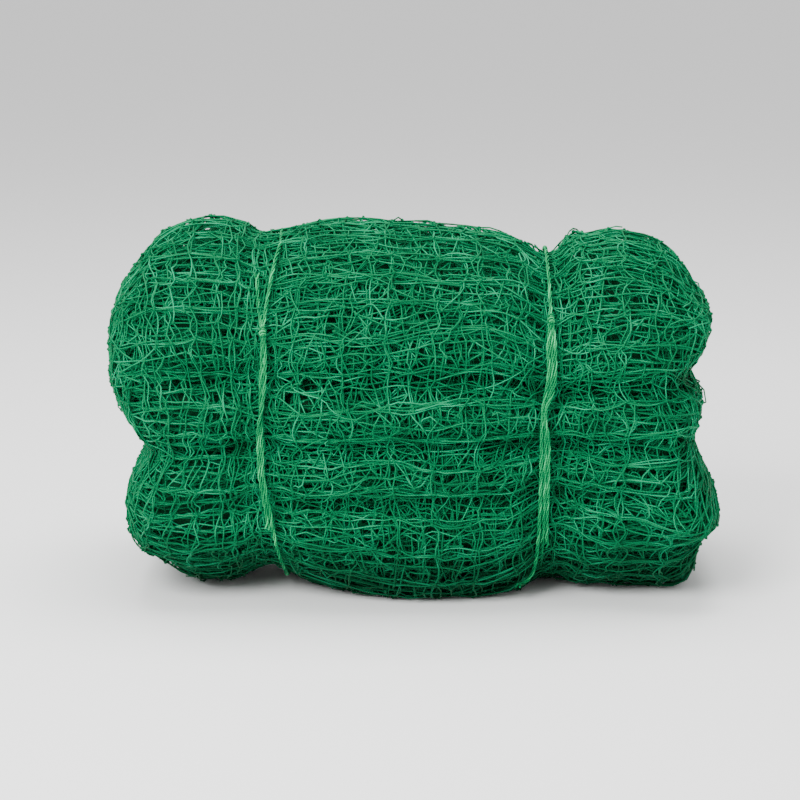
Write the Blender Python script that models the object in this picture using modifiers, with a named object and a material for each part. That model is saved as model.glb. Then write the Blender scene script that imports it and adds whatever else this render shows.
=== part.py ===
"""Cargo climbing net, folded into a bundle for storage and tied round with two lengths of twine.

One knotted net panel is gathered into a strip and folded to and fro into four passes, stacked on each
other. Three turns join the passes at their ends. Each pass and each turn is a closed stand-in solid for the
net that it holds. Two twine ties pull the bundle in, each with its winding, its knot and one loose tail.

Metres, +Z up. The origin is on the floor under the middle of the bundle. +X runs along the bundle, and the
side that carries the knots faces -Y.
"""

import math

import bmesh
import bpy
from mathutils import Vector

# Overall sizes.
LENGTH = 0.640  # between the outermost turn and the outermost free end
DEPTH = 0.386  # front to back, at the middle lobe
HEIGHT = 0.388  # floor to the top of the middle lobe

# The ties leave three lobes. These say how far each end lobe stays inside the middle one.
LEFT_LOBE_NARROWER = 0.008
RIGHT_LOBE_NARROWER = 0.012
LEFT_LOBE_LOWER = 0.002
RIGHT_LOBE_LOWER = 0.012
LOBE_BLEND = 0.050  # length over which one lobe runs into the next

# The cross section.
SECTION_ROUNDNESS = 0.90  # 0 is a rectangle and 1 an ellipse
BASE_SINK = 0.009  # how far the round section would dip under the floor before it is flattened

# The folds.
TURN_LENGTH = 0.066  # of the longest turn
LEFT_LOWER_TURN_SHORTER = 0.016
RIGHT_TURN_SHORTER = 0.030
BOTTOM_PASS_SHORTER = 0.004
FOLD_GAP = 0.0020  # between neighbouring folds
END_HEIGHT_KEPT = 0.46  # share of its height that a fold keeps at its rounded end
END_DEPTH_KEPT = 0.80  # share of its depth that a fold keeps at its rounded end
CAGE_SLICES = (4, 2)  # of a fold's cage along Y and Z
CAGE_STEPS_AT_TIE = (-0.050, -0.025, -0.010, 0.0, 0.010, 0.025, 0.050)  # slices of a groove, along X

# Where one fold lies on the next, as shares of the half height, at the left end and at the right end.
TOP_PARTING = (0.43, 0.33)
MIDDLE_PARTING = (-0.14, -0.02)
BOTTOM_PARTING = (-0.57, -0.36)

# The ties. Each is one turn of twine with a knot high on the front and two loose tails below the knot.
TWINE = 0.0038  # diameter
TWINE_CLEARANCE = 0.0010  # between the net and the twine, which follows a smoother outline
STRAND_GAP = 0.0006  # between strands that lie side by side
LEFT_TIE_X = -0.152
RIGHT_TIE_X = 0.143
LEFT_GROOVE = 0.013
RIGHT_GROOVE = 0.026
BASE_GROOVE = 0.022  # under the bundle, so that the lobes carry it and not the twine
GROOVE_FLOOR = 0.020  # width of the groove's level floor, which takes the strands side by side
GROOVE_FLANK = 0.018  # over which the groove rises from its floor
TIE_SQUARENESS = 2.25  # exponent of the ties' rounded outline
TIE_POINTS = 110

# The knots.
KNOT_SIZE = (0.015, 0.010, 0.019)  # along X, Y and Z
KNOT_GAP = 0.0006  # between a knot and the twine that enters it
KNOT_ENTRY_OUT = 0.5  # strands out, where a tail leaves its knot
LEFT_KNOT_HEIGHT = 0.763  # share of HEIGHT
RIGHT_KNOT_HEIGHT = 0.784

# The tails, as hand-laid points. Each is strands to the side of the tie's own strand, strands out from the
# layer that it lies in, and height as a share of HEIGHT. A tail starts at its knot.
LEFT_LONG_TAIL = (
    (1.05, 0.23, 0.706),
    (1.10, 0.00, 0.670),
    (1.10, 0.00, 0.624),
    (0.75, 0.82, 0.585),
    (0.00, 1.09, 0.557),
    (-0.75, 0.82, 0.528),
    (-1.10, 0.00, 0.490),
    (-1.10, 0.00, 0.438),
    (-1.10, 0.00, 0.381),
    (-1.15, 0.00, 0.325),
    (-1.30, 0.05, 0.273),
    (-1.55, 0.14, 0.232),
)
LEFT_SHORT_TAIL = (
    (-1.60, 0.55, 0.809),
    (-2.30, 0.32, 0.830),
    (-2.80, 0.23, 0.856),
    (-3.00, 0.23, 0.884),
)
RIGHT_LONG_TAIL = (
    (-1.05, 0.23, 0.727),
    (-1.10, 0.00, 0.691),
    (-1.10, 0.00, 0.639),
    (-1.10, 0.00, 0.577),
    (-1.20, 0.00, 0.510),
    (-1.30, 0.00, 0.438),
    (-1.40, 0.00, 0.361),
    (-1.60, 0.05, 0.289),
    (-1.90, 0.18, 0.227),
    (-2.40, 0.32, 0.175),
    (-3.20, 0.50, 0.137),
    (-4.40, 0.73, 0.108),
    (-6.00, 0.95, 0.090),
    (-7.90, 1.05, 0.080),
)
RIGHT_SHORT_TAIL = (
    (1.05, 0.23, 0.727),
    (1.10, 0.00, 0.691),
    (1.10, 0.00, 0.629),
    (0.75, 0.82, 0.595),
    (0.00, 1.09, 0.567),
    (-0.10, 1.09, 0.531),
    (0.70, 0.86, 0.500),
    (1.10, 0.00, 0.464),
    (1.10, 0.00, 0.397),
    (1.10, 0.00, 0.330),
    (1.10, 0.00, 0.263),
    (1.20, 0.05, 0.206),
    (1.50, 0.14, 0.165),
)
TAIL_STEP = 0.009  # between the points of a tail's tube

# Colours, linear RGB.
NET_GREEN = (0.008, 0.155, 0.075, 1.0)
TWINE_GREEN = (0.22, 0.68, 0.36, 1.0)

HALF_LENGTH = LENGTH / 2
STRAND_PITCH = TWINE + STRAND_GAP
LEFT_SEAM = TURN_LENGTH - HALF_LENGTH  # where the passes meet the turns of the left end
RIGHT_SEAM = HALF_LENGTH - TURN_LENGTH
FRONT = -1.0  # the sign of Y on the side of the knots


def new_collection(name):
    collection = bpy.data.collections.new(name)
    bpy.context.scene.collection.children.link(collection)
    return collection


def new_material(name, colour, roughness):
    material = bpy.data.materials.new(name)
    material.use_nodes = True
    shader = material.node_tree.nodes["Principled BSDF"]
    shader.inputs["Base Color"].default_value = colour
    shader.inputs["Roughness"].default_value = roughness
    shader.inputs["Metallic"].default_value = 0.0
    return material


def add_object(name, data, material, collection):
    piece = bpy.data.objects.new(name, data)
    data.materials.append(material)
    collection.objects.link(piece)
    return piece


# ---- the bundle's outline ----


def smooth(value):
    """0 up to 0, 1 from 1 on, and a smooth rise between."""
    value = min(1.0, max(0.0, value))
    return value * value * (3.0 - 2.0 * value)


def by_lobe(x, left, middle, right):
    """The value at x of a size that differs from lobe to lobe."""
    from_left = smooth((x - LEFT_TIE_X) / LOBE_BLEND + 0.5)
    to_right = smooth((x - RIGHT_TIE_X) / LOBE_BLEND + 0.5)
    return left + (middle - left) * from_left + (right - middle) * to_right


def dip(x, tie_x):
    """1 under a tie, falling off to 0 on both sides of it."""
    beside = max(0.0, abs(x - tie_x) - GROOVE_FLOOR / 2)
    return math.exp(-((beside / GROOVE_FLANK) ** 2))


def section(x):
    """Half depth, centre height and half height of the bundle at x."""
    left_dip = dip(x, LEFT_TIE_X)
    right_dip = dip(x, RIGHT_TIE_X)
    groove = LEFT_GROOVE * left_dip + RIGHT_GROOVE * right_dip
    half_depth = by_lobe(x, DEPTH / 2 - LEFT_LOBE_NARROWER, DEPTH / 2, DEPTH / 2 - RIGHT_LOBE_NARROWER)
    top = by_lobe(x, HEIGHT - LEFT_LOBE_LOWER, HEIGHT, HEIGHT - RIGHT_LOBE_LOWER) - groove
    bottom = BASE_GROOVE * (left_dip + right_dip) - BASE_SINK
    return half_depth - groove, (top + bottom) / 2, (top - bottom) / 2


def parting(ends, x):
    """Share of the half height, at x, of a parting given at the two ends."""
    share = (x + HALF_LENGTH) / LENGTH
    return ends[0] + (ends[1] - ends[0]) * share


# ---- the folds ----


def slice_places(x_from, x_to):
    """Where a fold's cage is cut along X: beside and under each tie, at the seams and within the turns."""
    places = [tie_x + step for tie_x in (LEFT_TIE_X, RIGHT_TIE_X) for step in CAGE_STEPS_AT_TIE]
    places += [(LEFT_TIE_X + RIGHT_TIE_X) / 2, LEFT_SEAM, RIGHT_SEAM]
    places += [side * (HALF_LENGTH - TURN_LENGTH * share) for side in (-1, 1) for share in (0.28, 0.62)]
    least_slice = 0.006
    return [x for x in places if x_from + least_slice < x < x_to - least_slice]


def net_cage(x_from, x_to):
    """A box from x_from to x_to and 2 across and 2 high, cut into slices along X, Y and Z."""
    mesh = bmesh.new()
    bmesh.ops.create_cube(mesh, size=2.0)
    bmesh.ops.scale(mesh, vec=((x_to - x_from) / 2, 1.0, 1.0), verts=mesh.verts)
    bmesh.ops.translate(mesh, vec=((x_from + x_to) / 2, 0.0, 0.0), verts=mesh.verts)
    cuts = [(0, place) for place in slice_places(x_from, x_to)]
    for axis, count in zip((1, 2), CAGE_SLICES):
        cuts += [(axis, 2.0 * cut / count - 1.0) for cut in range(1, count)]
    for axis, place in cuts:
        normal = Vector((0.0, 0.0, 0.0))
        normal[axis] = 1.0
        everything = mesh.verts[:] + mesh.edges[:] + mesh.faces[:]
        bmesh.ops.bisect_plane(mesh, geom=everything, plane_co=normal * place, plane_no=normal)
    return mesh


def crease_end(mesh, end):
    """Keeps the rim of the end at x = end sharp under Subdivision Surface."""
    crease = mesh.edges.layers.float.get("crease_edge") or mesh.edges.layers.float.new("crease_edge")
    for edge in mesh.edges:
        if all(abs(vert.co.x - end) < 1e-5 for vert in edge.verts):
            faces_across = sum(abs(face.normal.x) > 0.5 for face in edge.link_faces)
            if faces_across == 1:
                edge[crease] = 1.0


def fold_point(corner, round_end, end, lower, upper):
    """Where a point of the cage goes. round_end is -1 or 1 where the fold has an end that no fold meets."""
    x = corner.x
    height_kept = 1.0
    depth_kept = 1.0
    if round_end:
        seam = LEFT_SEAM if round_end < 0 else RIGHT_SEAM
        reach = min(1.0, max(0.0, (x - seam) / (end - seam)))
        height_kept = 1.0 - (1.0 - END_HEIGHT_KEPT) * reach**2
        depth_kept = 1.0 - (1.0 - END_DEPTH_KEPT) * reach**2
    half_depth, centre, half_height = section(x)
    low = parting(lower, x)
    high = parting(upper, x)
    across = corner.y * depth_kept
    up = (low + high) / 2 + (high - low) / 2 * corner.z * height_kept
    y = half_depth * across * math.sqrt(1.0 - SECTION_ROUNDNESS * up**2 / 2)
    z = centre + half_height * up * math.sqrt(1.0 - SECTION_ROUNDNESS * across**2 / 2)
    if corner.z < -0.99 and low > -1.0:
        z += FOLD_GAP / 2
    if corner.z > 0.99 and high < 1.0:
        z -= FOLD_GAP / 2
    return Vector((x, y, z))


def add_fold(name, x_span, lower, upper, round_end, material, collection):
    """One fold of the net between two partings."""
    mesh = net_cage(*x_span)
    mesh.normal_update()
    for side, end in zip((-1, 1), x_span):
        if side != round_end:
            crease_end(mesh, end)
    outer = x_span[0] if round_end < 0 else x_span[1]
    for vert in mesh.verts:
        vert.co = fold_point(vert.co.copy(), round_end, outer, lower, upper)
    data = bpy.data.meshes.new(name)
    mesh.to_mesh(data)
    mesh.free()
    data.shade_smooth()
    piece = add_object(name, data, material, collection)
    softening = piece.modifiers.new("softening", "SUBSURF")
    softening.levels = 1
    softening.render_levels = 1
    return piece


def add_floor_cutter(collection):
    """A block under the floor, which flattens what dips into it."""
    mesh = bmesh.new()
    bmesh.ops.create_cube(mesh, size=1.0)
    bmesh.ops.scale(mesh, vec=(2 * LENGTH, 2 * DEPTH, HEIGHT), verts=mesh.verts)
    bmesh.ops.translate(mesh, vec=(0.0, 0.0, -HEIGHT / 2), verts=mesh.verts)
    data = bpy.data.meshes.new("floor_cutter")
    mesh.to_mesh(data)
    mesh.free()
    cutter = bpy.data.objects.new("floor_cutter", data)
    collection.objects.link(cutter)
    cutter.hide_render = True
    cutter.display_type = "WIRE"
    return cutter


def flatten_base(piece, cutter):
    cut = piece.modifiers.new("flat_base", "BOOLEAN")
    cut.operation = "DIFFERENCE"
    cut.solver = "EXACT"
    cut.object = cutter


def build_folds(material, collection, cutters):
    whole_top = (1.0, 1.0)
    whole_base = (-1.0, -1.0)
    passes = (
        ("net_pass_top", TOP_PARTING, whole_top, 1, HALF_LENGTH),
        ("net_pass_upper", MIDDLE_PARTING, TOP_PARTING, 0, RIGHT_SEAM - FOLD_GAP / 2),
        ("net_pass_lower", BOTTOM_PARTING, MIDDLE_PARTING, 0, RIGHT_SEAM - FOLD_GAP / 2),
        ("net_pass_bottom", whole_base, BOTTOM_PARTING, 1, HALF_LENGTH - BOTTOM_PASS_SHORTER),
    )
    built = {}
    for name, lower, upper, round_end, x_to in passes:
        span = (LEFT_SEAM + FOLD_GAP / 2, x_to)
        built[name] = add_fold(name, span, lower, upper, round_end, material, collection)
    turns = (
        ("net_turn_left_upper", MIDDLE_PARTING, whole_top, -1, 0.0),
        ("net_turn_left_lower", whole_base, MIDDLE_PARTING, -1, LEFT_LOWER_TURN_SHORTER),
        ("net_turn_right", BOTTOM_PARTING, TOP_PARTING, 1, RIGHT_TURN_SHORTER),
    )
    for name, lower, upper, side, shorter in turns:
        outer = side * (HALF_LENGTH - shorter)
        inner = (LEFT_SEAM if side < 0 else RIGHT_SEAM) + side * FOLD_GAP / 2
        span = (min(outer, inner), max(outer, inner))
        built[name] = add_fold(name, span, lower, upper, side, material, collection)
    cutter = add_floor_cutter(cutters)
    for name in ("net_pass_bottom", "net_turn_left_lower"):
        flatten_base(built[name], cutter)


# ---- the ties ----


def tie_outline(x, angle, outward):
    """A point round the bundle at x. Angle 0 is the front and a quarter turn is the top."""
    half_depth, centre, half_height = section(x)
    across = math.cos(angle)
    up = math.sin(angle)
    reach_y = half_depth + TWINE_CLEARANCE + TWINE / 2
    reach_z = half_height + TWINE_CLEARANCE + TWINE / 2
    size = (abs(across) ** TIE_SQUARENESS + abs(up) ** TIE_SQUARENESS) ** (-1.0 / TIE_SQUARENESS)
    y = FRONT * across * (reach_y * size + outward)
    z = centre + up * (reach_z * size + outward)
    return Vector((x, y, z))


def angle_at_height(x, height):
    """The angle on the front of the tie's outline at x that lies at a height."""
    low = -math.pi / 2
    high = math.pi / 2
    for _ in range(40):
        middle = (low + high) / 2
        if tie_outline(x, middle, 0.0).z < height:
            low = middle
        else:
            high = middle
    return (low + high) / 2


def tube(name, points, material, collection):
    """A length of twine along the points."""
    curve = bpy.data.curves.new(name, "CURVE")
    curve.dimensions = "3D"
    curve.bevel_depth = TWINE / 2
    curve.bevel_resolution = 2
    curve.use_fill_caps = True
    spline = curve.splines.new("POLY")
    spline.points.add(len(points) - 1)
    for spot, point in zip(spline.points, points):
        spot.co = (point.x, point.y, point.z, 1.0)
    return add_object(name, curve, material, collection)


def outline_slope(x, angle):
    """How the tie's outline runs at an angle, in metres for each radian."""
    step = 0.001
    return (tie_outline(x, angle + step, 0.0) - tie_outline(x, angle - step, 0.0)) / (2 * step)


def angle_along(x, angle, distance):
    """The angle that lies the given distance further along the tie's outline."""
    return angle + distance / outline_slope(x, angle).length


def add_winding(name, tie_x, knot_angle, material, collection):
    """The one turn of a tie, from the upper side of its knot round to the lower side."""
    reach = KNOT_SIZE[2] / 2 + KNOT_GAP
    above = angle_along(tie_x, knot_angle, reach)
    below = angle_along(tie_x, knot_angle, -reach)
    turn = 2 * math.pi + below - above
    points = [tie_outline(tie_x, above + turn * step / TIE_POINTS, 0.0) for step in range(TIE_POINTS + 1)]
    return tube(name, points, material, collection)


def add_knot(name, tie_x, knot_angle, material, collection):
    """A knot lies along its tie, with its inner side level with the twine's."""
    mesh = bmesh.new()
    bmesh.ops.create_uvsphere(mesh, u_segments=12, v_segments=8, radius=0.5)
    bmesh.ops.scale(mesh, vec=KNOT_SIZE, verts=mesh.verts)
    data = bpy.data.meshes.new(name)
    mesh.to_mesh(data)
    mesh.free()
    data.shade_smooth()
    knot = add_object(name, data, material, collection)
    slope = outline_slope(tie_x, knot_angle)
    knot.location = tie_outline(tie_x, knot_angle, KNOT_SIZE[1] / 2 - TWINE / 2)
    knot.rotation_euler.x = math.atan2(slope.z, slope.y) - math.pi / 2
    return knot


def spline_through(route, step):
    """Points at about the given step along a smooth curve through the route's points."""
    points = []
    for index in range(len(route) - 1):
        before = route[max(0, index - 1)]
        start = route[index]
        end = route[index + 1]
        after = route[min(len(route) - 1, index + 2)]
        pieces = max(1, round((end - start).length / step))
        for piece in range(pieces):
            t = piece / pieces
            bend = (end - before) * t + (before * 2 - start * 5 + end * 4 - after) * t**2
            points.append(start + (bend + (start * 3 - before - end * 3 + after) * t**3) / 2)
    points.append(route[-1])
    return points


def add_tail(name, tie_x, knot_angle, route, material, collection):
    """A loose end of a tie, from its knot along the front of the bundle."""
    side = math.copysign(1.0, route[0][0])
    x = tie_x + side * STRAND_PITCH
    knot_z = tie_outline(x, knot_angle, 0.0).z
    reach = math.copysign(KNOT_SIZE[2] / 2, route[0][2] * HEIGHT - knot_z)
    entry = angle_along(x, knot_angle, reach)
    laid = [tie_outline(x, entry, KNOT_ENTRY_OUT * STRAND_PITCH)]
    for strands, outward, share in route:
        x = tie_x + strands * STRAND_PITCH
        laid.append(tie_outline(x, angle_at_height(x, share * HEIGHT), outward * STRAND_PITCH))
    return tube(name, spline_through(laid, TAIL_STEP), material, collection)


def build_ties(material, collection):
    ties = (
        ("tie_left", LEFT_TIE_X, LEFT_KNOT_HEIGHT, LEFT_LONG_TAIL, LEFT_SHORT_TAIL),
        ("tie_right", RIGHT_TIE_X, RIGHT_KNOT_HEIGHT, RIGHT_LONG_TAIL, RIGHT_SHORT_TAIL),
    )
    for name, tie_x, knot_height, long_tail, short_tail in ties:
        knot_angle = angle_at_height(tie_x, knot_height * HEIGHT)
        add_winding(name, tie_x, knot_angle, material, collection)
        add_knot(name + "_knot", tie_x, knot_angle, material, collection)
        add_tail(name + "_long_tail", tie_x, knot_angle, long_tail, material, collection)
        add_tail(name + "_short_tail", tie_x, knot_angle, short_tail, material, collection)


def main():
    for old in list(bpy.data.objects):
        bpy.data.objects.remove(old, do_unlink=True)
    parts = new_collection("cargo_climbing_net")
    cutters = new_collection("cutters")
    netting = new_material("netting", NET_GREEN, 0.55)
    twine = new_material("tie_twine", TWINE_GREEN, 0.45)
    build_folds(netting, parts, cutters)
    build_ties(twine, parts)


main()
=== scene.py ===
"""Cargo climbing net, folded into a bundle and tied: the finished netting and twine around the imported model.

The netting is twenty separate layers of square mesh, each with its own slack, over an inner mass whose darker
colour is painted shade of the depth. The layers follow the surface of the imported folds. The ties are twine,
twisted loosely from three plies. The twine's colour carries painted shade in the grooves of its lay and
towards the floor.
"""

import math

import bpy
import numpy as np
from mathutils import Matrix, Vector
from mathutils.bvhtree import BVHTree


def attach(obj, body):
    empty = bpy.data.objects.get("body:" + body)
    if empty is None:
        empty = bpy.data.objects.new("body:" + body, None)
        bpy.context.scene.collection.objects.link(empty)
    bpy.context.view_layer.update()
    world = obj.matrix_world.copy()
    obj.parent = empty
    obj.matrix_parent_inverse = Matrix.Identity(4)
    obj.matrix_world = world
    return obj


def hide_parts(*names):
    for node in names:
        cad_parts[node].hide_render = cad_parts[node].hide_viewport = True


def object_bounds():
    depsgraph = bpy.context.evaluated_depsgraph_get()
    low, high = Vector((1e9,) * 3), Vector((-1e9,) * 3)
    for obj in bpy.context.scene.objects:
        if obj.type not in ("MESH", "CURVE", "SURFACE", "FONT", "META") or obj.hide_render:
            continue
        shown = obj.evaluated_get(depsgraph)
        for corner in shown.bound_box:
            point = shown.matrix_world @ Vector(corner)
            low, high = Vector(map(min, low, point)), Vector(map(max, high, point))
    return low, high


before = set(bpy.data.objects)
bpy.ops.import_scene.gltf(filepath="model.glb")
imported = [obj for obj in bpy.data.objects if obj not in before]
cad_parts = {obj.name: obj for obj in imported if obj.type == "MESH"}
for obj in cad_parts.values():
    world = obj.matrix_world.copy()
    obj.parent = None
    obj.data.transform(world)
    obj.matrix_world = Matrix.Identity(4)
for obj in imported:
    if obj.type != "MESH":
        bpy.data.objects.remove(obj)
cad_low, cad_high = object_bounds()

FOLDS = [name for name in sorted(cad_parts) if name.startswith("net_")]
BODY = "root"
TURN = 2 * math.pi

# ---- sizes of the netting ----
NET_TWINE = 0.0018
BAR = 0.0465  # length of one side of a mesh, knot to knot, pulled straight
BAR_STEPS = 4  # pieces that a bar bends in
TWINE_SIDES = 4
KNOT_RADIUS = 0.0021
TWINE_LAY = 0.009  # length of one turn of the twine's twist
LAYER_STEP = 0.0015  # how much deeper each inner layer lies than the one before
# The same for the outermost layers, from the outside in.
OUTER_STEPS = (0.0, 0.0004, 0.0004, 0.0005, 0.0006, 0.0008, 0.0008, 0.0010)
# The layers from the outside in: L is laid square, C is square but set across, T is tumbled.
LAYER_KINDS = "LLLCTLLTCLTTLTCLTTLT"
SHARED_LAYERS = 8  # the layers from the outside in whose meshes line up
CLEAR_LOBE_LAYERS = 9  # the layers from the outside in whose tumbled netting stops short of the left lobe
TUMBLED_PATCHES = 9
TUMBLED_SIZE = 0.19
SIDE_REACH = 0.35  # how far along the bundle the netting on its side goes
LEFT_LOBE_EDGE = -0.185
CORE_DEPTH = 0.029
MIDDLE_HALF = 0.150  # half the length of the middle lobe
LOBE_CROWDING = 0.66  # length of a mesh in the outer lobes, as a share of one in the middle

# ---- the bundle's inner line, from which its surface is measured ----
LINE_END = 0.200  # half length of the straight line along the bundle
LINE_HEIGHT = (cad_low.z + cad_high.z) / 2
CAP_RADIUS = 0.130  # turns distance past the line's end into an angle
POLE = LINE_END + CAP_RADIUS * math.pi / 2
SKIN_ROWS = 150
SKIN_COLUMNS = 144

# ---- the ties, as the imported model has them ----
DEPTH, HEIGHT = 0.386, 0.388
LEFT_TIE_X, RIGHT_TIE_X = -0.152, 0.143
LEFT_GROOVE, RIGHT_GROOVE, BASE_GROOVE = 0.013, 0.026, 0.022
GROOVE_FLOOR, GROOVE_FLANK = 0.020, 0.018
TIE_TWINE = 0.0038
STRAND_PITCH = 0.0034  # the strands of a tie are pulled together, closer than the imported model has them
TIE_SQUARENESS = 2.25

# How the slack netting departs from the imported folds: a place (x, height), its reach, and how far out
# it stands there.
SLACK = (
    ((0.310, 0.335), (0.045, 0.045), -0.018),
    ((-0.306, 0.352), (0.034, 0.040), -0.006),
    ((-0.285, 0.012), (0.045, 0.034), -0.017),
    ((-0.300, 0.138), (0.030, 0.018), 0.010),
    ((-0.205, 0.385), (0.055, 0.035), 0.012),
    ((-0.070, 0.385), (0.070, 0.030), 0.007),
    ((0.170, 0.375), (0.012, 0.050), 0.012),
    ((0.205, 0.375), (0.050, 0.035), 0.009),
    ((0.315, 0.295), (0.030, 0.032), 0.016),
    ((0.300, 0.210), (0.030, 0.026), 0.024),
    ((0.295, 0.120), (0.045, 0.034), 0.050),
    ((0.290, 0.010), (0.034, 0.024), 0.014),
    ((-0.285, 0.120), (0.034, 0.050), 0.008),
    ((0.010, 0.010), (0.090, 0.055), 0.026),
    ((0.110, 0.385), (0.060, 0.030), -0.004),
    ((-0.140, 0.390), (0.020, 0.030), 0.005),
    ((0.130, 0.010), (0.060, 0.050), 0.014),
)


# ---- the skin: how far the surface lies from the inner line ----


def line_point(s):
    """The inner line's point for a distance s along the bundle."""
    x = np.clip(s, -LINE_END, LINE_END)
    return np.stack([x, np.zeros_like(x), np.full_like(x, LINE_HEIGHT)], axis=-1)


def outward(s, phi):
    """The direction out of the bundle. phi is 0 at the front and a quarter turn at the top."""
    lean = np.clip((np.abs(s) - LINE_END) / CAP_RADIUS, 0.0, math.pi / 2)
    x = np.sign(s) * np.sin(lean)
    return np.stack([x, -np.cos(lean) * np.cos(phi), np.cos(lean) * np.sin(phi)], axis=-1)


def blur(grid, width, axis, wraps):
    """Softens a grid along one axis."""
    reach = int(3 * width) + 1
    weights = np.exp(-0.5 * (np.arange(-reach, reach + 1) / width) ** 2)
    weights /= weights.sum()
    pad = [(0, 0), (0, 0)]
    pad[axis] = (reach, reach)
    padded = np.pad(grid, pad, mode="wrap" if wraps else "edge")
    size = grid.shape[axis]
    return sum(w * np.take(padded, np.arange(k, k + size), axis=axis) for k, w in enumerate(weights))


def measure_skin():
    """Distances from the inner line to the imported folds, on a grid of rays from outside."""
    points, faces = [], []
    for name in FOLDS:
        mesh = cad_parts[name].data
        start = len(points)
        points += [v.co.copy() for v in mesh.vertices]
        faces += [[start + k for k in p.vertices] for p in mesh.polygons]
    tree = BVHTree.FromPolygons(points, faces)
    s, phi = np.meshgrid(
        np.linspace(-POLE, POLE, SKIN_ROWS), np.arange(SKIN_COLUMNS) * TURN / SKIN_COLUMNS, indexing="ij"
    )
    origins = line_point(s)
    ways = outward(s, phi)
    grid = np.zeros(s.shape)
    for index in np.ndindex(s.shape):
        way = Vector(ways[index])
        hit = tree.ray_cast(Vector(origins[index]) + way, -way)
        grid[index] = 1.0 - hit[3] if hit[0] is not None else 0.15
    grid = blur(blur(grid, 1.3, 0, False), 1.1, 1, True)
    drawn_over = np.clip((np.abs(s) - LINE_END - 0.03) / 0.10, 0.0, 1.0)
    grid += drawn_over * (blur(blur(grid, 4.0, 0, False), 6.0, 1, True) - grid)
    place = origins + ways * grid[..., None]
    for (x, z), (reach_x, reach_z), out in SLACK:
        grid += out * np.exp(-(((place[..., 0] - x) / reach_x) ** 2) - ((place[..., 2] - z) / reach_z) ** 2)
    return grid


SKIN = measure_skin()


def skin_radius(s, phi):
    """The softened skin's distance from the inner line."""
    row = np.clip((s + POLE) / (2 * POLE) * (SKIN_ROWS - 1), 0, SKIN_ROWS - 1.001)
    column = np.mod(phi / TURN, 1.0) * SKIN_COLUMNS
    r0, c0 = row.astype(int), column.astype(int) % SKIN_COLUMNS
    r1, c1 = r0 + 1, (c0 + 1) % SKIN_COLUMNS
    fr, fc = row - r0, column - np.floor(column)
    low = SKIN[r0, c0] * (1 - fc) + SKIN[r0, c1] * fc
    high = SKIN[r1, c0] * (1 - fc) + SKIN[r1, c1] * fc
    return low * (1 - fr) + high * fr


def on_skin(s, phi, depth):
    """The point at a depth under the skin, and never under the floor."""
    reach = (skin_radius(s, phi) - depth)[..., None]
    points = line_point(s) + outward(s, phi) * reach
    points[..., 2] = np.maximum(points[..., 2], 1.55 * KNOT_RADIUS + 0.10 * np.clip(depth, 0.0, 0.03))
    return points


def ripple(points, wavelength, random, stretch=(1.0, 1.0, 1.0)):
    """Smooth noise of about unit height at points, longer along the axes that stretch names."""
    total = np.zeros(points.shape[:-1])
    waves = 7
    for _ in range(waves):
        way = random.normal(size=3)
        way /= np.linalg.norm(way)
        way = way / np.array(stretch) * TURN / (wavelength * random.uniform(0.7, 1.4))
        total += np.sin(points @ way + random.uniform(0, TURN))
    return total * math.sqrt(2.0 / waves)


def near_tie(x, reach=GROOVE_FLANK):
    """1 under a tie and 0 away from both."""
    beside = np.minimum(np.abs(x - LEFT_TIE_X), np.abs(x - RIGHT_TIE_X))
    return np.exp(-((np.maximum(0.0, beside - GROOVE_FLOOR / 2) / reach) ** 2))


def gather(x):
    """Shifts a place along the bundle towards the nearer tie, which draws the netting in."""
    for tie_x in (LEFT_TIE_X, RIGHT_TIE_X):
        beside = x - tie_x
        x = x - 0.28 * beside * np.exp(-((beside / 0.045) ** 2))
    return x


# ---- sheets of netting ----

GIRTH_ANGLES = np.linspace(0.0, TURN, 721)
GIRTH_POINTS = line_point(0.0 * GIRTH_ANGLES)
GIRTH_POINTS = GIRTH_POINTS + outward(0.0 * GIRTH_ANGLES, GIRTH_ANGLES) * skin_radius(
    0.0 * GIRTH_ANGLES, GIRTH_ANGLES
)[:, None]
GIRTH_LENGTHS = np.concatenate([[0.0], np.cumsum(np.linalg.norm(np.diff(GIRTH_POINTS, axis=0), axis=-1))])
GIRTH = GIRTH_LENGTHS[-1]


def side_place(p, q):
    """A sheet's coordinates to the skin's: p along the bundle, q round it from the front."""
    return gather(p), np.interp(np.mod(q, GIRTH), GIRTH_LENGTHS, GIRTH_ANGLES)


def end_place(side):
    """The same for netting laid over one end, with its middle at the end's centre."""

    def place(p, q):
        from_pole = np.minimum(np.hypot(p, q), POLE)
        return side * (POLE - from_pole), np.arctan2(q, -p)

    return place


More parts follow.
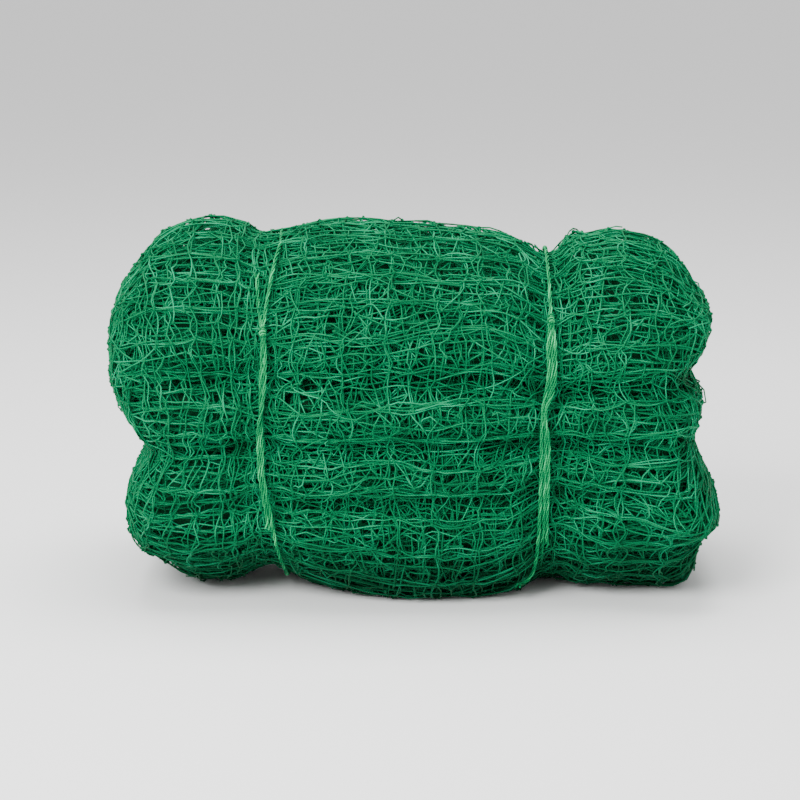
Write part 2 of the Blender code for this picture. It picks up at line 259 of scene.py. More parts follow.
def bend_bars(knots, place, along, random, closed, spare):
    """Points of the lines that run along one axis of a grid of knots, each bar with its own bend.

    knots holds p, q and depth. The result has the lines first and the points along each line second.
    """
    grid = knots if along == 0 else knots.transpose(1, 0, 2)
    start = grid if closed else grid[:-1]
    end = np.roll(grid, -1, axis=0) if closed else grid[1:]
    if closed:
        end = end.copy()
        end[-1, :, 1] += GIRTH
    from_point = on_skin(*place(start[..., 0], start[..., 1]), start[..., 2])
    to_point = on_skin(*place(end[..., 0], end[..., 1]), end[..., 2])
    chord = np.linalg.norm(to_point - from_point, axis=-1)
    loose = np.clip(BAR - chord, 0.0, 0.02) * spare[1] + random.uniform(0.0, spare[0], chord.shape)
    bow = np.sqrt(0.375 * chord * loose)
    turn = random.uniform(0, TURN, chord.shape)
    across = bow * np.cos(turn)
    deep = bow * np.abs(np.sin(turn)) * np.where(random.random(chord.shape) < 0.25, -0.35, 0.9)
    twist = bow * random.normal(0, 0.35, chord.shape)
    in_left_lobe = np.clip((LEFT_TIE_X - start[..., 0]) / 0.02, 0.0, 1.0)
    across = across * (1.0 - 0.45 * in_left_lobe)
    proud = (0.0006 - 0.0018 * in_left_lobe) * (1.0 if along else -1.0)
    steps = []
    for step in range(BAR_STEPS):
        t = step / BAR_STEPS
        point = start * (1 - t) + end * t
        hump, wave = math.sin(math.pi * t), math.sin(TURN * t)
        point[..., 1 if along == 0 else 0] += across * hump + twist * wave
        point[..., 2] += (deep + proud) * hump + 0.5 * twist * wave
        steps.append(point)
    points = np.stack(steps, axis=1).reshape(-1, grid.shape[1], 3)
    if not closed:
        points = np.concatenate([points, grid[-1:]], axis=0)
    return points.transpose(1, 0, 2)


def settle(p, q, place, depth, style, random):
    """Knots with their depth, from a flat grid: shared creases, the layer's own wander, and dives."""
    base = on_skin(*place(p, q), 0.0 * p)
    shared = np.random.default_rng(style["creases"])
    p = p + style["sway"][0] * ripple(base, 0.19, shared)
    q = q + style["sway"][1] * ripple(base, 0.16, shared, (1.5, 1.0, 1.0))
    p = p + style["wander"][0] * ripple(base, 0.12, random) + random.normal(0, style["jitter"][0], p.shape)
    q = q + style["wander"][1] * ripple(base, 0.10, random) + random.normal(0, style["jitter"][1], p.shape)
    tie = near_tie(base[..., 0])
    free = 1.0 - 0.85 * tie
    dive = style["dive"] * (0.7 * ripple(base, 0.07, random) + random.normal(0, 0.7, p.shape))
    sunk = np.maximum(depth * (1.0 - 0.35 * tie) + 0.0012 * tie + free * dive, -0.0012 * free)
    return np.stack([p, q, sunk], axis=-1)


def add_lines(net, lines, place, closed, random, keep=None):
    """Adds the twine's lines to a net as points and edges, with a shade for each bar."""
    count = lines.shape[1]
    for line in lines:
        points = on_skin(*place(line[:, 0], line[:, 1]), line[:, 2])
        first = len(net["points"])
        net["points"].extend(points)
        shades = random.uniform(0.0, 1.0, count // BAR_STEPS + 1)
        net["shades"].extend(shades[np.arange(count) // BAR_STEPS])
        kept = np.ones(count, bool) if keep is None else keep(line[:, 0], line[:, 1])
        net["edges"].extend((first + k, first + k + 1) for k in range(count - 1) if kept[k] and kept[k + 1])
        if closed:
            net["edges"].append((first + count - 1, first))


def crowd(p):
    """Shortens the meshes of the outer lobes, where the netting is pushed together along the bundle."""
    past = np.maximum(0.0, np.abs(p) - MIDDLE_HALF)
    return np.sign(p) * (np.abs(p) - past * (1.0 - LOBE_CROWDING))


def wrap_netting(net, depth, style, random):
    """Netting wrapped round the bundle, its meshes square to it."""
    rows = int(round(GIRTH / style["pitch"][1]))
    reach = MIDDLE_HALF + (random.uniform(0.330, 0.352) - MIDDLE_HALF) / LOBE_CROWDING
    columns = int(2 * reach / style["pitch"][0])
    i, j = np.meshgrid(np.arange(columns), np.arange(rows), indexing="ij")
    p = (i - (columns - 1) / 2 + style["phase"][0]) * style["pitch"][0]
    p = crowd(p + random.normal(0, style["offset"][0]))
    q = (j + style["phase"][1]) * GIRTH / rows + random.normal(0, style["offset"][1])
    tucked_in = np.clip((np.abs(p) - 0.255) / 0.06, 0.0, 1.0)
    q = q + 0.026 * tucked_in * ripple(on_skin(*side_place(p, q), 0.0 * p), 0.11, random)
    knots = settle(p, q, side_place, depth, style, random)
    for along, closed in ((0, False), (1, True)):
        lines = bend_bars(knots, side_place, along, random, closed, style["spare"])
        add_lines(net, lines, side_place, closed, random)
    net["knots"].extend(on_skin(*side_place(knots[..., 0], knots[..., 1]), knots[..., 2]).reshape(-1, 3))


def patch_netting(net, place, centre, size, turn, depth, style, random, inside):
    """A piece of netting laid at any turn, cut to a disc."""
    pitch_p, pitch_q = style["pitch"]
    count_p, count_q = int(2 * size / pitch_p) + 1, int(2 * size / pitch_q) + 1
    i, j = np.meshgrid(np.arange(count_p), np.arange(count_q), indexing="ij")
    a = (i - (count_p - 1) / 2 + style["phase"][0]) * pitch_p + random.normal(0, style["offset"][0])
    b = (j - (count_q - 1) / 2 + style["phase"][1]) * pitch_q + random.normal(0, style["offset"][1])
    p = centre[0] + a * math.cos(turn) - b * math.sin(turn)
    q = centre[1] + a * math.sin(turn) + b * math.cos(turn)
    knots = settle(p, q, place, depth, style, random)

    def keep(p, q):
        return (np.hypot(p - centre[0], q - centre[1]) < size) & inside(p, q)

    for along in (0, 1):
        lines = bend_bars(knots, place, along, random, False, style["spare"])
        add_lines(net, lines, place, False, random, keep)
    held = keep(knots[..., 0], knots[..., 1])
    net["knots"].extend(on_skin(*place(knots[..., 0], knots[..., 1]), knots[..., 2])[held])


def everywhere(p, q):
    return np.ones(p.shape, bool)


def on_side(p, q):
    return np.abs(p) < SIDE_REACH


def past_left_lobe(p, q):
    return (p > LEFT_LOBE_EDGE) & (p < SIDE_REACH)


# ---- trees ----


def new_tree(name, inputs):
    tree = bpy.data.node_groups.new(name, "GeometryNodeTree")
    tree.interface.new_socket("Geometry", in_out="INPUT", socket_type="NodeSocketGeometry")
    for label, kind in inputs:
        tree.interface.new_socket(label, in_out="INPUT", socket_type=kind)
    tree.interface.new_socket("Geometry", in_out="OUTPUT", socket_type="NodeSocketGeometry")
    return tree, tree.nodes.new("NodeGroupInput"), tree.nodes.new("NodeGroupOutput")


def node(tree, kind, links=(), **settings):
    """A node with its settings, and its inputs by name, each a value or another node's socket."""
    made = tree.nodes.new(kind)
    for key, value in settings.items():
        setattr(made, key, value)
    for key, value in dict(links).items():
        socket = made.inputs[key]
        if isinstance(value, bpy.types.NodeSocket):
            tree.links.new(value, socket)
        else:
            socket.default_value = value
    return made


def netting_tree():
    """Sweeps twine along a net's lines and sets a knot on each crossing."""
    inputs = (
        ("Knots", "NodeSocketObject"),
        ("Twine radius", "NodeSocketFloat"),
        ("Sides", "NodeSocketInt"),
        ("Knot radius", "NodeSocketFloat"),
        ("Seed", "NodeSocketInt"),
        ("Material", "NodeSocketMaterial"),
    )
    tree, given, result = new_tree("netting", inputs)
    lines = node(tree, "GeometryNodeMeshToCurve", {"Mesh": given.outputs["Geometry"]})
    ring = node(
        tree,
        "GeometryNodeCurvePrimitiveCircle",
        {"Resolution": given.outputs["Sides"], "Radius": given.outputs["Twine radius"]},
    )
    length = node(tree, "GeometryNodeSplineParameter")
    marked = node(
        tree,
        "GeometryNodeStoreNamedAttribute",
        {"Geometry": lines.outputs["Curve"], "Name": "along", "Value": length.outputs["Length"]},
    )
    share = node(tree, "GeometryNodeSplineParameter")
    angle = node(tree, "ShaderNodeMath", {0: share.outputs["Factor"], 1: TURN}, operation="MULTIPLY")
    cosine = node(tree, "ShaderNodeMath", {0: angle.outputs["Value"]}, operation="COSINE")
    sine = node(tree, "ShaderNodeMath", {0: angle.outputs["Value"]}, operation="SINE")
    ring_c = node(
        tree,
        "GeometryNodeStoreNamedAttribute",
        {"Geometry": ring.outputs["Curve"], "Name": "round_cos", "Value": cosine.outputs["Value"]},
    )
    ring_s = node(
        tree,
        "GeometryNodeStoreNamedAttribute",
        {"Geometry": ring_c.outputs["Geometry"], "Name": "round_sin", "Value": sine.outputs["Value"]},
    )
    swept = node(
        tree,
        "GeometryNodeCurveToMesh",
        {
            "Curve": marked.outputs["Geometry"],
            "Profile Curve": ring_s.outputs["Geometry"],
            "Fill Caps": True,
        },
    )
    source = node(tree, "GeometryNodeObjectInfo", {"Object": given.outputs["Knots"]})
    points = node(tree, "GeometryNodeMeshToPoints", {"Mesh": source.outputs["Geometry"]})
    lump = node(
        tree,
        "GeometryNodeMeshIcoSphere",
        {"Radius": given.outputs["Knot radius"], "Subdivisions": 1},
    )
    spin = node(
        tree,
        "FunctionNodeRandomValue",
        {"Seed": given.outputs["Seed"]},
        data_type="FLOAT_VECTOR",
    )
    spin.inputs["Max"].default_value = (TURN, TURN, TURN)
    size = node(
        tree,
        "FunctionNodeRandomValue",
        {"Seed": given.outputs["Seed"]},
        data_type="FLOAT_VECTOR",
    )
    size.inputs["Min"].default_value = (0.8, 0.8, 1.0)
    size.inputs["Max"].default_value = (1.05, 1.1, 1.5)
    placed = node(
        tree,
        "GeometryNodeInstanceOnPoints",
        {
            "Points": points.outputs["Points"],
            "Instance": lump.outputs["Mesh"],
            "Rotation": spin.outputs["Value"],
            "Scale": size.outputs["Value"],
        },
    )
    real = node(tree, "GeometryNodeRealizeInstances", {"Geometry": placed.outputs["Instances"]})
    joined = node(tree, "GeometryNodeJoinGeometry")
    tree.links.new(real.outputs["Geometry"], joined.inputs["Geometry"])
    tree.links.new(swept.outputs["Mesh"], joined.inputs["Geometry"])
    smooth = node(tree, "GeometryNodeSetShadeSmooth", {"Geometry": joined.outputs["Geometry"]})
    finished = node(
        tree,
        "GeometryNodeSetMaterial",
        {"Geometry": smooth.outputs["Geometry"], "Material": given.outputs["Material"]},
    )
    tree.links.new(finished.outputs["Geometry"], result.inputs["Geometry"])
    return tree


def mesh_object(name, points, edges=(), faces=()):
    data = bpy.data.meshes.new(name)
    data.from_pydata([tuple(p) for p in points], edges, faces)
    made = bpy.data.objects.new(name, data)
    bpy.context.scene.collection.objects.link(made)
    return made


def run_tree(source, tree, values):
    """The tree's result on the source as a plain mesh object. The source goes."""
    modifier = source.modifiers.new("tree", "NODES")
    modifier.node_group = tree
    for item in tree.interface.items_tree:
        if item.in_out == "INPUT" and item.name in values:
            modifier[item.identifier] = values[item.name]
    bpy.context.view_layer.update()
    graph = bpy.context.evaluated_depsgraph_get()
    data = bpy.data.meshes.new_from_object(source.evaluated_get(graph), depsgraph=graph)
    name = source.name
    bpy.data.objects.remove(source)
    data.name = name
    made = bpy.data.objects.new(name, data)
    bpy.context.scene.collection.objects.link(made)
    return made


# ---- materials ----


def shader(name):
    material = bpy.data.materials.new(name)
    material.use_nodes = True
    tree = material.node_tree
    return material, tree, tree.nodes["Principled BSDF"]


def net_material(name, dark, middle, light, painted_shade_at_floor=0.45):
    """Green polyethylene twine: shades from bar to bar, patches, a dull shine and the lay of its plies. The
    colour also carries painted shade: darker in the grooves of the lay, and darker towards the floor, down to
    the last argument's share of itself.
    """
    material, tree, surface = shader(name)
    place = node(tree, "ShaderNodeTexCoord")
    patches = node(
        tree,
        "ShaderNodeTexNoise",
        {"Vector": place.outputs["Object"], "Scale": 30.0, "Detail": 3.0, "Roughness": 0.6},
    )
    shade = node(tree, "ShaderNodeAttribute", attribute_name="shade")
    mixed = node(
        tree,
        "ShaderNodeMath",
        {0: shade.outputs["Fac"], 1: 0.45, 2: patches.outputs["Fac"]},
        operation="MULTIPLY_ADD",
    )
    ramp = node(tree, "ShaderNodeValToRGB", {"Fac": mixed.outputs["Value"]})
    ramp.color_ramp.elements[0].position = 0.40
    ramp.color_ramp.elements[0].color = (*dark, 1.0)
    ramp.color_ramp.elements[1].position = 0.80
    ramp.color_ramp.elements[1].color = (*middle, 1.0)
    last = ramp.color_ramp.elements.new(1.10)
    last.color = (*light, 1.0)
    lay = lay_pattern(tree, TWINE_LAY)
    # Painted shade: the colour darkens to 0.72 of itself in the grooves of the lay, where the bump pattern is
    # low.
    painted_groove_shade = node(tree, "ShaderNodeMapRange", {"Value": lay, "From Min": -1.0, "To Min": 0.72})
    height = node(tree, "ShaderNodeSeparateXYZ", {"Vector": place.outputs["Object"]})
    # Painted shade: the colour darkens towards the floor, from the given share at the floor to full colour
    # 0.11 m up.
    painted_floor_shade_mask = node(
        tree,
        "ShaderNodeMapRange",
        {"Value": height.outputs["Z"], "From Min": 0.0, "From Max": 0.11, "To Min": painted_shade_at_floor, "To Max": 1.0},
        interpolation_type="SMOOTHSTEP",
    )
    both = node(
        tree,
        "ShaderNodeMath",
        {0: painted_groove_shade.outputs["Result"], 1: painted_floor_shade_mask.outputs["Result"]},
        operation="MULTIPLY",
    )
    scaled = node(
        tree,
        "ShaderNodeVectorMath",
        {0: ramp.outputs["Color"], "Scale": both.outputs["Value"]},
        operation="SCALE",
    )
    tree.links.new(scaled.outputs["Vector"], surface.inputs["Base Color"])
    bump = node(tree, "ShaderNodeBump", {"Height": lay, "Strength": 0.5, "Distance": 0.0003})
    tree.links.new(bump.outputs["Normal"], surface.inputs["Normal"])
    surface.inputs["Roughness"].default_value = 0.55
    surface.inputs["Specular IOR Level"].default_value = 0.07
    return material


def lay_pattern(tree, pitch, plies=3):
    """Ridges that wind round twine, from its length and its cosine and sine round the section."""
    along = node(tree, "ShaderNodeAttribute", attribute_name="along")
    cosine = node(tree, "ShaderNodeAttribute", attribute_name="round_cos")
    sine = node(tree, "ShaderNodeAttribute", attribute_name="round_sin")
    phase = node(
        tree,
        "ShaderNodeMath",
        {0: along.outputs["Fac"], 1: plies * TURN / pitch},
        operation="MULTIPLY",
    )
    turn_c = node(tree, "ShaderNodeMath", {0: phase.outputs["Value"]}, operation="COSINE")
    turn_s = node(tree, "ShaderNodeMath", {0: phase.outputs["Value"]}, operation="SINE")
    first = node(
        tree,
        "ShaderNodeMath",
        {0: cosine.outputs["Fac"], 1: turn_c.outputs["Value"]},
        operation="MULTIPLY",
    )
    second = node(
        tree,
        "ShaderNodeMath",
        {0: sine.outputs["Fac"], 1: turn_s.outputs["Value"], 2: first.outputs["Value"]},
        operation="MULTIPLY_ADD",
    )
    return second.outputs["Value"]


# ---- the ties ----

TWINE_CLEARANCE = 0.0010
LOBE_BLEND = 0.050
KNOT_SIZE = (0.015, 0.010, 0.019)
KNOT_GAP = 0.0006
KNOT_WRAPS = 2.3
PLIES = 3
PLY_PITCH = 0.031  # length of one turn of the ties' plies
PLY_STEP = 0.0011

# The tails' routes: strands to the side of the tie, strands out, and share of the bundle's height.
LEFT_TIE = {
    "x": LEFT_TIE_X,
    "knot": 0.763,
    "long": (
        (1.05, 0.23, 0.706), (1.10, 0.0, 0.670), (1.10, 0.0, 0.624), (0.75, 0.82, 0.585), (0.0, 1.09, 0.557),
        (-0.75, 0.82, 0.528), (-1.10, 0.0, 0.490), (-1.10, 0.0, 0.438), (-1.10, 0.0, 0.381),
        (-1.15, 0.0, 0.325), (-1.30, 0.05, 0.273), (-1.55, 0.14, 0.232),
    ),
    "short": ((-1.60, -1.60, 0.809), (-2.60, -3.20, 0.832), (-3.60, -1.40, 0.864), (-4.40, 0.90, 0.895)),
}
RIGHT_TIE = {
    "x": RIGHT_TIE_X,
    "knot": 0.784,
    "long": (
        (-1.05, 0.23, 0.727), (-1.10, 0.0, 0.691), (-1.10, 0.0, 0.639), (-1.10, 0.0, 0.577),
        (-1.15, 0.0, 0.510), (-1.20, 0.0, 0.438), (-1.20, 0.0, 0.361), (-1.25, 0.20, 0.289),
        (-1.30, 0.60, 0.227), (-1.50, 1.40, 0.175), (-1.80, 2.20, 0.137), (-2.40, 3.00, 0.104),
        (-4.20, 3.40, 0.080), (-7.40, 3.60, 0.078),
    ),
    "short": (
        (1.05, 0.23, 0.727), (1.10, 0.0, 0.691), (1.10, 0.0, 0.629), (0.75, 0.82, 0.595), (0.0, 1.09, 0.567),
        (-0.10, 1.09, 0.531), (0.70, 0.86, 0.500), (1.10, 0.0, 0.464), (1.10, 0.0, 0.397),
        (1.10, 0.0, 0.330), (1.10, 0.0, 0.263), (1.20, 0.05, 0.206), (1.50, 0.14, 0.165),
    ),
}


# How far each tie has slid along the bundle, from the back under the foot, up the front and over the top.
LEFT_SLIDE = (
    (
        -3.14, -2.0, -1.45, -1.05, -0.78, -0.48, -0.24,
        0.21, 0.62, 0.85, 1.3, 1.8, 2.5, 3.14,
    ),
    (
        -0.002, 0.004, 0.017, 0.0165, 0.0100, 0.0045, -0.0022,
        -0.0042, -0.0015, 0.0035, 0.0128, 0.010, 0.0, -0.002,
    ),
)
RIGHT_SLIDE = (
    (-3.14, -1.5, -1.1, 0.17, 0.37, 1.2, 1.7, 3.14),
    (0.003, -0.004, -0.0075, -0.0072, -0.0005, -0.001, 0.001, 0.003),
)


def smooth(value):
    value = min(1.0, max(0.0, value))
    return value * value * (3.0 - 2.0 * value)


def by_lobe(x, left, middle, right):
    """The value at x of a size that differs from lobe to lobe."""
    from_left = smooth((x - LEFT_TIE_X) / LOBE_BLEND + 0.5)
    to_right = smooth((x - RIGHT_TIE_X) / LOBE_BLEND + 0.5)
    return left + (middle - left) * from_left + (right - middle) * to_right


def tie_section(x):
    """Half depth, centre height and half height of the bundle at x."""
    dips = []
    for tie_x in (LEFT_TIE_X, RIGHT_TIE_X):
        past_floor = max(0.0, abs(x - tie_x) - GROOVE_FLOOR / 2)
        dips.append(math.exp(-((past_floor / GROOVE_FLANK) ** 2)))
    groove = LEFT_GROOVE * dips[0] + RIGHT_GROOVE * dips[1]
    half_depth = by_lobe(x, DEPTH / 2 - 0.008, DEPTH / 2, DEPTH / 2 - 0.012) - groove
    top = by_lobe(x, HEIGHT - 0.002, HEIGHT, HEIGHT - 0.012) - groove
    bottom = BASE_GROOVE * sum(dips) - 0.009
    return half_depth, (top + bottom) / 2, (top - bottom) / 2


def slant(x, angle):
    """How far a tie at x has slid along the bundle at an angle round it."""
    angles, slides = RIGHT_SLIDE if x > 0.0 else LEFT_SLIDE
    return np.interp((angle + math.pi) % TURN - math.pi, angles, slides)


def tie_outline(x, angle, away):
    """A point round the bundle at x. Angle 0 is the front and a quarter turn is the top."""
    half_depth, centre, half_height = tie_section(x + slant(x, angle))
    across, up = math.cos(angle), math.sin(angle)
    reach = TWINE_CLEARANCE + TIE_TWINE / 2
    size = (abs(across) ** TIE_SQUARENESS + abs(up) ** TIE_SQUARENESS) ** (-1.0 / TIE_SQUARENESS)
    y = -across * ((half_depth + reach) * size + away)
    z = centre + up * ((half_height + reach) * size + away)
    return Vector((x + slant(x, angle), y, z))


def angle_at_height(x, height):
    low, high = -math.pi / 2, math.pi / 2
    for _ in range(40):
        middle = (low + high) / 2
        if tie_outline(x, middle, 0.0).z < height:
            low = middle
        else:
            high = middle
    return (low + high) / 2


def outline_slope(x, angle):
    """How the tie's outline runs at an angle, in metres for each radian."""
    return (tie_outline(x, angle + 0.001, 0.0) - tie_outline(x, angle - 0.001, 0.0)) / 0.002


def angle_along(x, angle, distance):
    return angle + distance / outline_slope(x, angle).length


def spline_through(route, step):
    """Points at about the given step along a smooth curve through the route's points."""
    points = []
    for index in range(len(route) - 1):
        before, start = route[max(0, index - 1)], route[index]
        end, after = route[index + 1], route[min(len(route) - 1, index + 2)]
        pieces = max(1, round((end - start).length / step))
        for piece in range(pieces):
            t = piece / pieces
            bend = (end - before) * t + (before * 2 - start * 5 + end * 4 - after) * t**2
            points.append(start + (bend + (start * 3 - before - end * 3 + after) * t**3) / 2)
    points.append(route[-1])
    return points


def winding_route(tie):
    """The one turn of a tie, from the upper side of its knot round to the lower side."""
    reach = KNOT_SIZE[2] / 2 + KNOT_GAP - 0.004
    angle = angle_at_height(tie["x"], tie["knot"] * HEIGHT)
    above = angle_along(tie["x"], angle, reach)
    below = angle_along(tie["x"], angle, -reach)
    turn = TURN + below - above
    return [tie_outline(tie["x"], above + turn * step / 220, 0.0) for step in range(221)]


def tail_route(tie, route):
    """A tie's loose end, from its knot along the front of the bundle."""
    side = math.copysign(1.0, route[0][0])
    x = tie["x"] + side * STRAND_PITCH
    knot_angle = angle_at_height(tie["x"], tie["knot"] * HEIGHT)
    reach = math.copysign(KNOT_SIZE[2] / 2, route[0][2] * HEIGHT - tie_outline(x, knot_angle, 0.0).z)
    root = tie["x"] + 0.4 * side * STRAND_PITCH
    laid = [tie_outline(root, angle_along(root, knot_angle, 0.5 * reach), 0.4 * STRAND_PITCH)]
    for strands, away, share in route:
        x = tie["x"] + strands * STRAND_PITCH
        laid.append(tie_outline(x, angle_at_height(x, share * HEIGHT), away * STRAND_PITCH))
    return spline_through(laid, 0.004)


def knot_route(tie):
    """The hitches that bind a tie, wound up tight round its strands."""
    angle = angle_at_height(tie["x"], tie["knot"] * HEIGHT)
    middle = np.array(tie_outline(tie["x"], angle, KNOT_SIZE[1] / 2 - TIE_TWINE / 2))
    slope = outline_slope(tie["x"], angle)
    up = np.array(slope) / slope.length
    side = np.array((1.0, 0.0, 0.0))
    out = np.cross(side, up)
    t = np.linspace(0.0, 1.0, 150)
    turns = TURN * KNOT_WRAPS * t + 0.6
    wide = 0.0024 * np.sin(math.pi * (0.12 + 0.80 * t)) ** 0.5
    tall = KNOT_SIZE[2] * 0.24 * (1.0 - 2.0 * t) + 0.0010 * np.sin(turns)
    thick = wide * 0.85
    across = (np.cos(turns) * wide)[:, None] * side
    through = (np.sin(turns) * thick)[:, None] * out
    return middle + across + tall[:, None] * up + through


def even_steps(route, step):
    """The route's points moved to equal steps, with its length along at each."""
    route = np.array([tuple(p) for p in route])
    lengths = np.concatenate([[0.0], np.cumsum(np.linalg.norm(np.diff(route, axis=0), axis=-1))])
    count = max(4, int(round(lengths[-1] / step)))
    wanted = np.linspace(0.0, lengths[-1], count + 1)
    return np.stack([np.interp(wanted, lengths, route[:, k]) for k in range(3)], axis=-1), wanted


def plies(route, random, fray=(False, False)):
    """Centre lines of the plies that are twisted along a route."""
    points, along = even_steps(route, PLY_STEP)
    tangent = np.gradient(points, axis=0)
    tangent /= np.linalg.norm(tangent, axis=-1)[:, None]
    normal = np.zeros_like(points)
    start = np.array((1.0, 0.0, 0.0)) if abs(tangent[0][0]) < 0.9 else np.array((0.0, 1.0, 0.0))
    for k in range(len(points)):
        start = start - tangent[k] * (start @ tangent[k])
        start /= np.linalg.norm(start)
        normal[k] = start
    binormal = np.cross(tangent, normal)
    spread = np.full(len(points), 0.62 * TIE_TWINE / 2)
    spread *= 1.0 + 0.10 * np.sin(along / 0.023 + random.uniform(0, TURN)) * np.sin(along / 0.061)
    for frayed, away in zip(fray, (along, along[-1] - along)):
        if frayed:
            spread = spread + 0.0016 * np.clip(1.0 - away / 0.011, 0.0, 1.0) ** 1.5
    lines = []
    for ply in range(PLIES):
        angle = TURN * (along / PLY_PITCH + ply / PLIES) + 0.25 * np.sin(along / 0.031 + ply)
        way = np.cos(angle)[:, None] * normal + np.sin(angle)[:, None] * binormal
        lines.append(points + spread[:, None] * way)
    return points, lines


def build_twine(name, route, tree, finish, seed, fray=(False, False)):
    """A piece of plied twine along a route. Its centre points come back with it."""
    centre, lines = plies(route, np.random.default_rng(seed), fray)
    points, edges, shades = [], [], []
    for ply, line in enumerate(lines):
        first = len(points)
        points.extend(line)
        shades.extend([0.2 + 0.3 * ply] * len(line))
        edges.extend((first + k, first + k + 1) for k in range(len(line) - 1))
    nothing = mesh_object("no_knots", [])
    source = mesh_object(name, points, edges)
    shade = source.data.attributes.new("shade", "FLOAT", "POINT")
    shade.data.foreach_set("value", shades)
    values = {
        "Knots": nothing,
        "Twine radius": 0.43 * TIE_TWINE / 2,
        "Sides": 8,
        "Knot radius": KNOT_RADIUS,
        "Seed": seed,
        "Material": finish,
    }
    piece = run_tree(source, tree, values)
    bpy.data.objects.remove(nothing)
    return piece, [tuple(p) for p in centre[::4]] + [tuple(centre[-1])]


def build_ties(tree):
    dark, middle, light = (0.0006, 0.14, 0.045), (0.0035, 0.28, 0.090), (0.045, 0.57, 0.200)
    # The tie twine's colour falls to 0.7 of itself at the floor: painted shade.
    finish = net_material("tie_twine", dark, middle, light, 0.7)
    for name, tie in (("tie_left", LEFT_TIE), ("tie_right", RIGHT_TIE)):
        winding, _ = build_twine(f"{name}_twine", winding_route(tie), tree, finish, 1)
        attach(winding, BODY)
        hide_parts(name)
        knot, _ = build_twine(f"{name}_overhand_knot", knot_route(tie), tree, finish, 2)
        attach(knot, BODY)
        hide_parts(f"{name}_knot")
        for seed, kind in ((3, "long"), (4, "short")):
            route = tail_route(tie, tie[kind])
            tail, centre = build_twine(f"{name}_{kind}_end", route, tree, finish, seed, (False, True))
            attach(tail, BODY)
            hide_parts(f"{name}_{kind}_tail")


def make_style(**changes):
    """How one layer of netting lies."""
    style = {
        "pitch": (0.0455, 0.0385),
        "phase": (0.0, 0.0),
        "offset": (0.0012, 0.0026),
        "creases": 11,
        "sway": (0.004, 0.004),
        "wander": (0.0016, 0.0026),
        "jitter": (0.0012, 0.0018),
        "dive": 0.0016,
        "spare": (0.0016, 0.10),
    }
    style.update(changes)
    return style


def build_netting(tree):
    finish = net_material("net_twine", (0.0001, 0.110, 0.037), (0.0002, 0.185, 0.067), (0.006, 0.30, 0.128))
    laid = make_style()
    crossed = make_style(phase=(0.66, 0.62))
    tumbled = make_style(
        pitch=(0.031, 0.034),
        sway=(0.0, 0.0),
        wander=(0.006, 0.006),
        jitter=(0.005, 0.005),
        dive=0.0042,
        spare=(0.003, 0.5),
    )
    inner_layers = len(LAYER_KINDS) - len(OUTER_STEPS)
    depths = np.cumsum([*OUTER_STEPS] + [LAYER_STEP] * inner_layers)
    pieces = []
    for layer, kind in enumerate(LAYER_KINDS):
        random = np.random.default_rng(7100 + layer)
        if layer >= SHARED_LAYERS:
            laid = make_style(phase=(random.random(), random.random()))
            crossed = make_style(phase=(random.random(), random.random()))
        depth = depths[layer]
        net = {"points": [], "shades": [], "edges": [], "knots": []}
        if kind == "T":
            where = past_left_lobe if layer < CLEAR_LOBE_LAYERS else on_side
            for patch in range(TUMBLED_PATCHES):
                centre = (random.uniform(-0.30, 0.30), (patch + random.random()) * GIRTH / TUMBLED_PATCHES)
                turn = random.uniform(0, TURN)
                patch_netting(net, side_place, centre, TUMBLED_SIZE, turn, depth, tumbled, random, where)
        else:
            wrap_netting(net, depth, laid if kind == "L" else crossed, random)
        for side in (-1, 1):
            place = end_place(side)
            style = tumbled if kind == "T" else (laid if kind == "L" else crossed)
            turn = random.uniform(0, TURN) if kind == "T" else random.normal(0, 0.08)
            size = random.uniform(0.125, 0.150) if kind != "T" else random.uniform(0.14, 0.17)
            patch_netting(net, place, (0.0, 0.0), size, turn, depth, style, random, everywhere)
        knots = mesh_object("knots", net["knots"])
        lines = mesh_object(f"netting_layer_{layer + 1:02d}", net["points"], net["edges"])
        shade = lines.data.attributes.new("shade", "FLOAT", "POINT")
        shade.data.foreach_set("value", net["shades"])
        values = {
            "Knots": knots,
            "Twine radius": NET_TWINE / 2,
            "Sides": TWINE_SIDES,
            "Knot radius": KNOT_RADIUS,
            "Seed": layer,
            "Material": finish,
        }
        piece = run_tree(lines, tree, values)
        bpy.data.objects.remove(knots)
        pieces.append(piece)
    return pieces


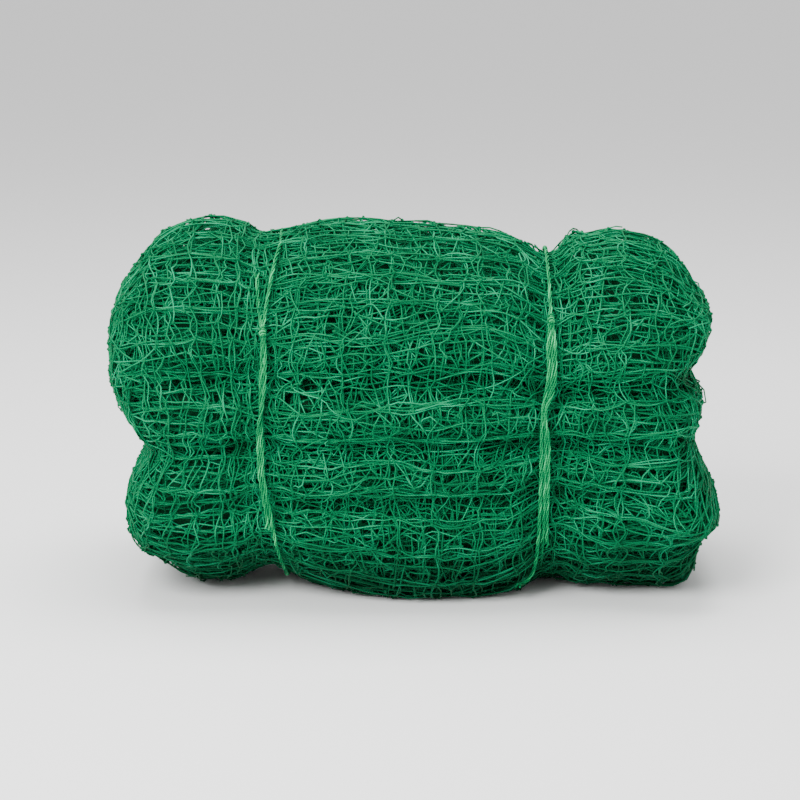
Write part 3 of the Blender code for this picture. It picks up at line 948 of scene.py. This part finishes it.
def build_core():
    """The mass of inner layers, which shows only deep in the meshes. Its colour is darker than the twine's as
    painted shade of the depth, and it darkens towards the floor as painted shade.
    """
    rows, columns = 90, 110
    s, phi = np.meshgrid(np.linspace(-POLE, POLE, rows), np.arange(columns) * TURN / columns, indexing="ij")
    random = np.random.default_rng(41)
    base = on_skin(s, phi, np.zeros_like(s))
    depth = CORE_DEPTH + 0.004 * ripple(base, 0.05, random) + 0.002 * ripple(base, 0.02, random)
    points = on_skin(s, phi, depth)
    first, last = points[0].mean(axis=0), points[-1].mean(axis=0)
    inner = points[1:-1].reshape(-1, 3)
    faces = []
    for r in range(rows - 3):
        for c in range(columns):
            d = (c + 1) % columns
            faces.append((r * columns + c, r * columns + d, (r + 1) * columns + d, (r + 1) * columns + c))
    low, high = len(inner), len(inner) + 1
    for c in range(columns):
        d = (c + 1) % columns
        faces.append((low, d, c))
        faces.append((high, (rows - 3) * columns + c, (rows - 3) * columns + d))
    core = mesh_object("netting_inner_mass", [*inner, first, last], (), faces)
    # Painted shade: the inner mass's colour is darker than the twine's to stand for the shade deep in the
    # netting.
    finish = net_material("inner_net", (0.0001, 0.05, 0.016), (0.0002, 0.08, 0.028), (0.0005, 0.12, 0.045))
    core.data.materials.append(finish)
    core.data.shade_smooth()
    return core


def build_studio():
    corners = [(-40, -40, 0), (40, -40, 0), (40, 40, 0), (-40, 40, 0)]
    floor = mesh_object("floor", corners, (), [(0, 1, 2, 3)])
    material, _, surface = shader("floor_white")
    surface.inputs["Base Color"].default_value = (0.93, 0.93, 0.93, 1.0)
    surface.inputs["Roughness"].default_value = 0.9
    floor.data.materials.append(material)
    world = bpy.data.worlds.new("studio")
    bpy.context.scene.world = world
    world.use_nodes = True
    world.node_tree.nodes["Background"].inputs["Color"].default_value = (1.0, 1.0, 1.0, 1.0)
    world.node_tree.nodes["Background"].inputs["Strength"].default_value = 1.0
    lamps = (
        ("key", (-1.2, -2.2, 1.9), 1.4, 132.0),
        ("top", (0.0, 0.2, 2.4), 1.8, 70.0),
    )
    middle = Vector((0.0, 0.0, LINE_HEIGHT))
    for name, place, size, power in lamps:
        lamp = bpy.data.lights.new(name, "AREA")
        lamp.size = size
        lamp.energy = power
        holder = bpy.data.objects.new(name, lamp)
        holder.location = place
        holder.rotation_euler = (middle - Vector(place)).to_track_quat("-Z", "Y").to_euler()
        bpy.context.scene.collection.objects.link(holder)


def build_camera():
    distance, elevation = 2.8, math.radians(12.0)
    target = Vector((-0.0136, -0.03, LINE_HEIGHT + 0.0075))
    camera = bpy.data.cameras.new("camera")
    camera.sensor_width = 36.0
    camera.lens = 36.0 * distance / 0.862
    holder = bpy.data.objects.new("camera", camera)
    holder.location = target + Vector((0.0, -math.cos(elevation), math.sin(elevation))) * distance
    holder.rotation_euler = (target - holder.location).to_track_quat("-Z", "Y").to_euler()
    bpy.context.scene.collection.objects.link(holder)
    bpy.context.scene.camera = holder


build_camera()
build_studio()
core = build_core()
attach(core, BODY)
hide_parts(*FOLDS)
twine_tree = netting_tree()
build_ties(twine_tree)
for piece in build_netting(twine_tree):
    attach(piece, BODY)
